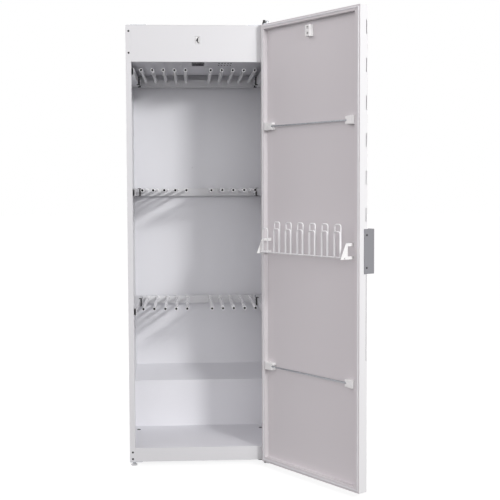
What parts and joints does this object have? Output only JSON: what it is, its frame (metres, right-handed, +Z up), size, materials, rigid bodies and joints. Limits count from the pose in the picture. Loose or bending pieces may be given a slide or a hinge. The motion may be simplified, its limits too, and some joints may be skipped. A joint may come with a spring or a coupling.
{
  "type": "drying cabinet",
  "caption": "Tall white drying cabinet with an open hinged door, pull-out rod sections for hanging clothes, a rack of glove loops and a warm-air unit behind and above.",
  "frame": {"origin": "on the floor that the feet stand on, midway between the side walls, in the plane of the cabinet front", "axes": "+Z up; +X to the right as seen from the front; +Y to the back; the door stands open on the right"},
  "size_m": [0.9469, 1.1165, 1.857],
  "materials": {
    "casing": "smooth white powder coat",
    "zinc": "bright zinc plate",
    "dark_steel": "black enamel",
    "white_wire": "thick white powder coat",
    "white_plastic": "moulded white plastic, light sheen",
    "black_plastic": "moulded black plastic, matt",
    "grey_plastic": "moulded grey plastic, fine grain",
    "panel_plastic": "dark grey plastic, satin",
    "button_plastic": "light grey plastic, satin",
    "handle_alu": "grey anodised, fine brushed grain",
    "gasket_rubber": "soft grey seal, matt",
    "black_rubber": "black rubber, matt",
    "copper": "drawn copper pipe",
    "fins": "thin bare fins"
  },
  "bodies": {
    "cabinet": {"side_panel_left": "casing", "side_panel_right": "casing", "rear_panel": "casing", "roof_panel": "casing", "fascia": "casing", "ceiling_panel": "casing", "ceiling_grille": "black_plastic", "inner_back_wall": "casing", "compressor_cover": "casing", "floor_panel": "casing", "plinth": "casing", "base_frame": "zinc", "hole_plugs": "black_plastic", "levelling_feet": "grey_plastic", "hinge_plate_top": "zinc", "hinge_plate_bottom": "dark_steel", "blank_plates": "zinc", "hinge_pins": "zinc", "cable_guide": "black_plastic", "latch_housing": "white_plastic", "tracks_left": "casing", "tracks_right": "casing", "compressor": "dark_steel", "compressor_mounts": "black_rubber", "refrigerant_pipes": "copper", "evaporator": "fins", "condenser": "fins", "blower_housing": "grey_plastic", "fan_motor": "grey_plastic", "control_box": "grey_plastic", "condensate_tray": "grey_plastic", "drain_spigot": "grey_plastic", "mains_inlet": "black_plastic", "case_screws": "zinc"},
    "door": {"door_skin": "casing", "door_liner": "casing", "door_gasket": "gasket_rubber", "door_bushes": "grey_plastic", "door_rods": "zinc", "rod_clips": "white_plastic", "glove_rack": "white_wire", "glove_brackets": "white_plastic", "striker": "white_plastic", "handle": "handle_alu", "handle_screws": "zinc", "control_panel": "panel_plastic"},
    "section_top": {"carriage_top": "casing", "rods_top": "white_wire", "glides_top": "black_plastic"},
    "section_middle": {"carriage_middle": "casing", "rods_middle": "white_wire", "glides_middle": "black_plastic"},
    "section_bottom": {"carriage_bottom": "casing", "rods_bottom": "white_wire", "glides_bottom": "black_plastic"},
    "fan": {"fan_wheel": "black_plastic"},
    "catch": {"latch_catch": "dark_steel"},
    "button_power": {"button_power": "button_plastic"},
    "button_program": {"button_program": "button_plastic"},
    "button_start": {"button_start": "button_plastic"}
  },
  "joints": [
    {"name": "door_hinge", "type": "hinge", "parent": "cabinet", "child": "door", "pos_m": [0.284, -0.026, 0.93], "axis": [0, 0, 1], "range_deg": [-123.6, 51.4]},
    {"name": "slide_top", "type": "slide", "parent": "cabinet", "child": "section_top", "axis": [0, -1, 0], "range_m": [0, 0.33]},
    {"name": "slide_middle", "type": "slide", "parent": "cabinet", "child": "section_middle", "axis": [0, -1, 0], "range_m": [0, 0.33]},
    {"name": "slide_bottom", "type": "slide", "parent": "cabinet", "child": "section_bottom", "axis": [0, -1, 0], "range_m": [0, 0.33]},
    {"name": "fan_spin", "type": "hinge", "parent": "cabinet", "child": "fan", "pos_m": [0, 0.4, 1.728], "axis": [0, 0, 1], "continuous": true},
    {"name": "catch_slide", "type": "slide", "parent": "cabinet", "child": "catch", "axis": [0, 1, 0], "range_m": [0, 0.003], "stiffness_N_per_m": 400},
    {"name": "press_power", "type": "slide", "parent": "door", "child": "button_power", "axis": [-0.8329, -0.5534, 0], "range_m": [0, 0.002], "stiffness_N_per_m": 500},
    {"name": "press_program", "type": "slide", "parent": "door", "child": "button_program", "axis": [-0.8329, -0.5534, 0], "range_m": [0, 0.002], "stiffness_N_per_m": 500},
    {"name": "press_start", "type": "slide", "parent": "door", "child": "button_start", "axis": [-0.8329, -0.5534, 0], "range_m": [0, 0.002], "stiffness_N_per_m": 500}
  ]
}
